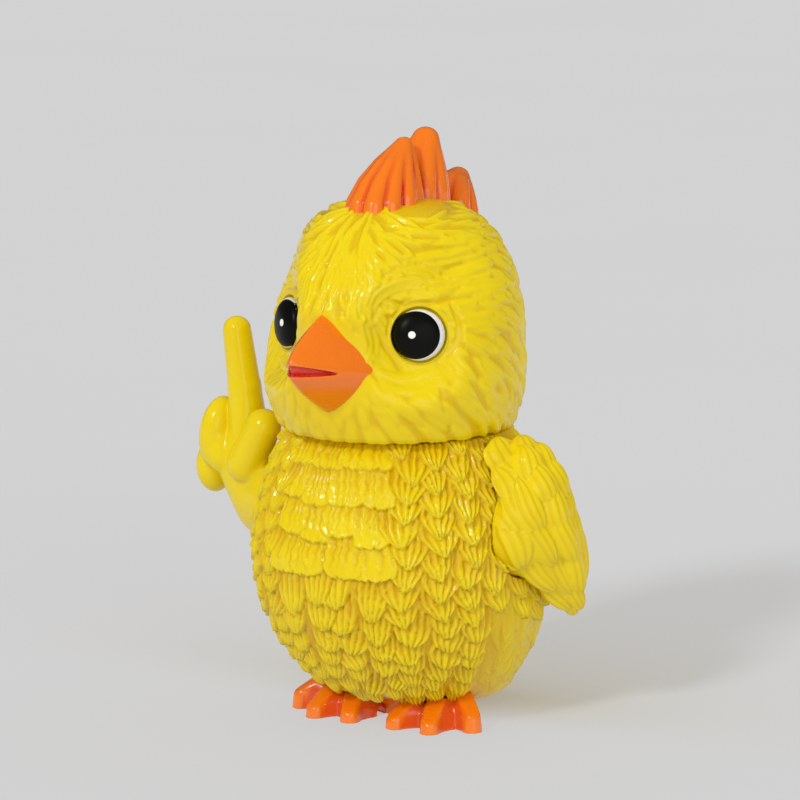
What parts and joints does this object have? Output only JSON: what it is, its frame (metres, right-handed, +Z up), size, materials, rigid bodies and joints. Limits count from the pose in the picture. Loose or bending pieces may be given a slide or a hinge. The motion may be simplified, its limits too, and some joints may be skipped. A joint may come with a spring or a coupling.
{
  "type": "rubber chicken",
  "caption": "Hollow glossy moulded chick figure standing on two feet, with a turning head, a swinging raised arm, a swinging wing and a squeaker in its sole.",
  "frame": {"origin": "on the bottom face of the sole plate, on the figure's middle plane, under the belly's centre line", "axes": "+Z up, the chick faces -Y, its left side is +X"},
  "size_m": [0.1785, 0.1434, 0.2396],
  "materials": {
    "yellow_skin": "glossy vinyl",
    "orange_skin": "glossy vinyl",
    "eye_white": "gloss",
    "eye_black": "gloss",
    "inner_plastic": "natural",
    "reed_brass": "thin strip"
  },
  "bodies": {
    "torso": {"torso_shell": "yellow_skin", "sole_plate": "orange_skin", "left_foot": "orange_skin", "right_foot": "orange_skin", "squeaker_cup": "inner_plastic", "squeaker_reed": "reed_brass", "squeaker_cap": "inner_plastic"},
    "head": {"head_shell": "yellow_skin", "comb": "orange_skin", "beak": "orange_skin", "left_eye": "eye_white", "right_eye": "eye_white", "left_pupil": "eye_black", "right_pupil": "eye_black", "push_on_washers": "inner_plastic", "neck_spool": "inner_plastic"},
    "right_arm": {"right_arm": "yellow_skin", "right_shoulder_spool": "inner_plastic"},
    "left_wing": {"left_wing": "yellow_skin", "left_shoulder_spool": "inner_plastic"}
  },
  "joints": [
    {"name": "head_turn", "type": "hinge", "parent": "torso", "child": "head", "pos_m": [0, -0.004, 0.122], "axis": [0, 0, 1], "range_deg": [-45, 90]},
    {"name": "right_arm_swing", "type": "hinge", "parent": "torso", "child": "right_arm", "pos_m": [-0.054, 0, 0.085], "axis": [1, 0, 0], "range_deg": [-30, 45]},
    {"name": "left_wing_swing", "type": "hinge", "parent": "torso", "child": "left_wing", "pos_m": [0.054, 0, 0.085], "axis": [1, 0, 0], "range_deg": [-35, 40]}
  ]
}
